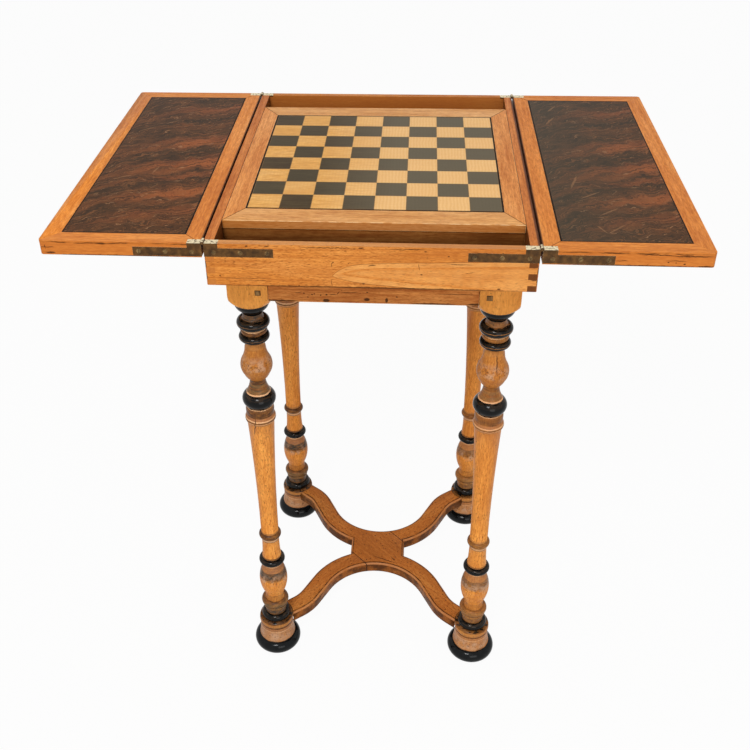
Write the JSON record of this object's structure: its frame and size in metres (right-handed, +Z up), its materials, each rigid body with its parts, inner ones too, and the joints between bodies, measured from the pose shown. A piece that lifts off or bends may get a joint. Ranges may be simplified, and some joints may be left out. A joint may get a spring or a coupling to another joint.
{
  "type": "games table",
  "caption": "Small wooden games table with an inlaid chess board, fold-over leaves on brass corner hinges, wells for the chessmen, turned legs and a serpentine cross stretcher.",
  "frame": {"origin": "on the floor under the middle of the table, leaves open", "axes": "+X to the right of a player who sits at the front, along the open leaves; +Y away from that player; +Z up"},
  "size_m": [0.7174, 0.466, 0.7339],
  "materials": {
    "case_front": "satin",
    "case_back": "satin",
    "case_left": "satin",
    "case_right": "satin",
    "case_bottom": "matte",
    "front_divider": "matte",
    "back_divider": "matte",
    "board_ledge_left": "matte",
    "board_ledge_right": "matte",
    "front_apron": "satin",
    "back_apron": "satin",
    "left_apron": "satin",
    "right_apron": "satin",
    "leg_front_left": "satin",
    "leg_front_right": "satin",
    "leg_back_left": "satin",
    "leg_back_right": "satin",
    "foot_front_left": "gloss",
    "foot_front_right": "gloss",
    "foot_back_left": "gloss",
    "foot_back_right": "gloss",
    "apron_pegs": "satin",
    "stretcher_upper": "satin",
    "stretcher_lower": "satin",
    "stand_screws": "dull",
    "case_hinge_plate_front_left": "tarnished",
    "case_hinge_plate_front_right": "tarnished",
    "case_hinge_plate_back_left": "tarnished",
    "case_hinge_plate_back_right": "tarnished",
    "case_hinge_screws": "tarnished",
    "hinge_pins": "tarnished",
    "board_core": "matte",
    "board_rail_front": "satin",
    "board_rail_back": "satin",
    "board_rail_left": "satin",
    "board_rail_right": "satin",
    "board_stringing": "satin",
    "dark_squares": "satin",
    "light_squares": "satin",
    "left_leaf_panel": "satin",
    "left_leaf_rail_front": "satin",
    "left_leaf_rail_back": "satin",
    "left_leaf_rail_inner": "satin",
    "left_leaf_rail_outer": "satin",
    "left_leaf_stringing": "satin",
    "left_leaf_burl": "satin",
    "left_leaf_hinge_plate_front": "tarnished",
    "left_leaf_hinge_plate_back": "tarnished",
    "left_leaf_hinge_screws": "tarnished",
    "right_leaf_panel": "satin",
    "right_leaf_rail_front": "satin",
    "right_leaf_rail_back": "satin",
    "right_leaf_rail_inner": "satin",
    "right_leaf_rail_outer": "satin",
    "right_leaf_stringing": "satin",
    "right_leaf_burl": "satin",
    "right_leaf_hinge_plate_front": "tarnished",
    "right_leaf_hinge_plate_back": "tarnished",
    "right_leaf_hinge_screws": "tarnished"
  },
  "bodies": {
    "stand": {"case_front": "case_front", "case_back": "case_back", "case_left": "case_left", "case_right": "case_right", "case_bottom": "case_bottom", "front_divider": "front_divider", "back_divider": "back_divider", "board_ledge_left": "board_ledge_left", "board_ledge_right": "board_ledge_right", "front_apron": "front_apron", "back_apron": "back_apron", "left_apron": "left_apron", "right_apron": "right_apron", "leg_front_left": "leg_front_left", "leg_front_right": "leg_front_right", "leg_back_left": "leg_back_left", "leg_back_right": "leg_back_right", "foot_front_left": "foot_front_left", "foot_front_right": "foot_front_right", "foot_back_left": "foot_back_left", "foot_back_right": "foot_back_right", "apron_pegs": "apron_pegs", "stretcher_upper": "stretcher_upper", "stretcher_lower": "stretcher_lower", "stand_screws": "stand_screws", "case_hinge_plate_front_left": "case_hinge_plate_front_left", "case_hinge_plate_front_right": "case_hinge_plate_front_right", "case_hinge_plate_back_left": "case_hinge_plate_back_left", "case_hinge_plate_back_right": "case_hinge_plate_back_right", "case_hinge_screws": "case_hinge_screws", "hinge_pins": "hinge_pins"},
    "board": {"board_core": "board_core", "board_rail_front": "board_rail_front", "board_rail_back": "board_rail_back", "board_rail_left": "board_rail_left", "board_rail_right": "board_rail_right", "board_stringing": "board_stringing", "dark_squares": "dark_squares", "light_squares": "light_squares"},
    "left_leaf": {"left_leaf_panel": "left_leaf_panel", "left_leaf_rail_front": "left_leaf_rail_front", "left_leaf_rail_back": "left_leaf_rail_back", "left_leaf_rail_inner": "left_leaf_rail_inner", "left_leaf_rail_outer": "left_leaf_rail_outer", "left_leaf_stringing": "left_leaf_stringing", "left_leaf_burl": "left_leaf_burl", "left_leaf_hinge_plate_front": "left_leaf_hinge_plate_front", "left_leaf_hinge_plate_back": "left_leaf_hinge_plate_back", "left_leaf_hinge_screws": "left_leaf_hinge_screws"},
    "right_leaf": {"right_leaf_panel": "right_leaf_panel", "right_leaf_rail_front": "right_leaf_rail_front", "right_leaf_rail_back": "right_leaf_rail_back", "right_leaf_rail_inner": "right_leaf_rail_inner", "right_leaf_rail_outer": "right_leaf_rail_outer", "right_leaf_stringing": "right_leaf_stringing", "right_leaf_burl": "right_leaf_burl", "right_leaf_hinge_plate_front": "right_leaf_hinge_plate_front", "right_leaf_hinge_plate_back": "right_leaf_hinge_plate_back", "right_leaf_hinge_screws": "right_leaf_hinge_screws"}
  },
  "joints": [
    {"name": "left_leaf_fold", "type": "hinge", "parent": "stand", "child": "left_leaf", "pos_m": [-0.1797, 0, 0.732], "axis": [0, 1, 0], "range_deg": [0, 180]},
    {"name": "right_leaf_fold", "type": "hinge", "parent": "stand", "child": "right_leaf", "pos_m": [0.1797, 0, 0.732], "axis": [0, -1, 0], "range_deg": [0, 180]},
    {"name": "board_lift", "type": "slide", "parent": "stand", "child": "board", "axis": [0, 0, 1], "range_m": [0, 0.1]}
  ]
}
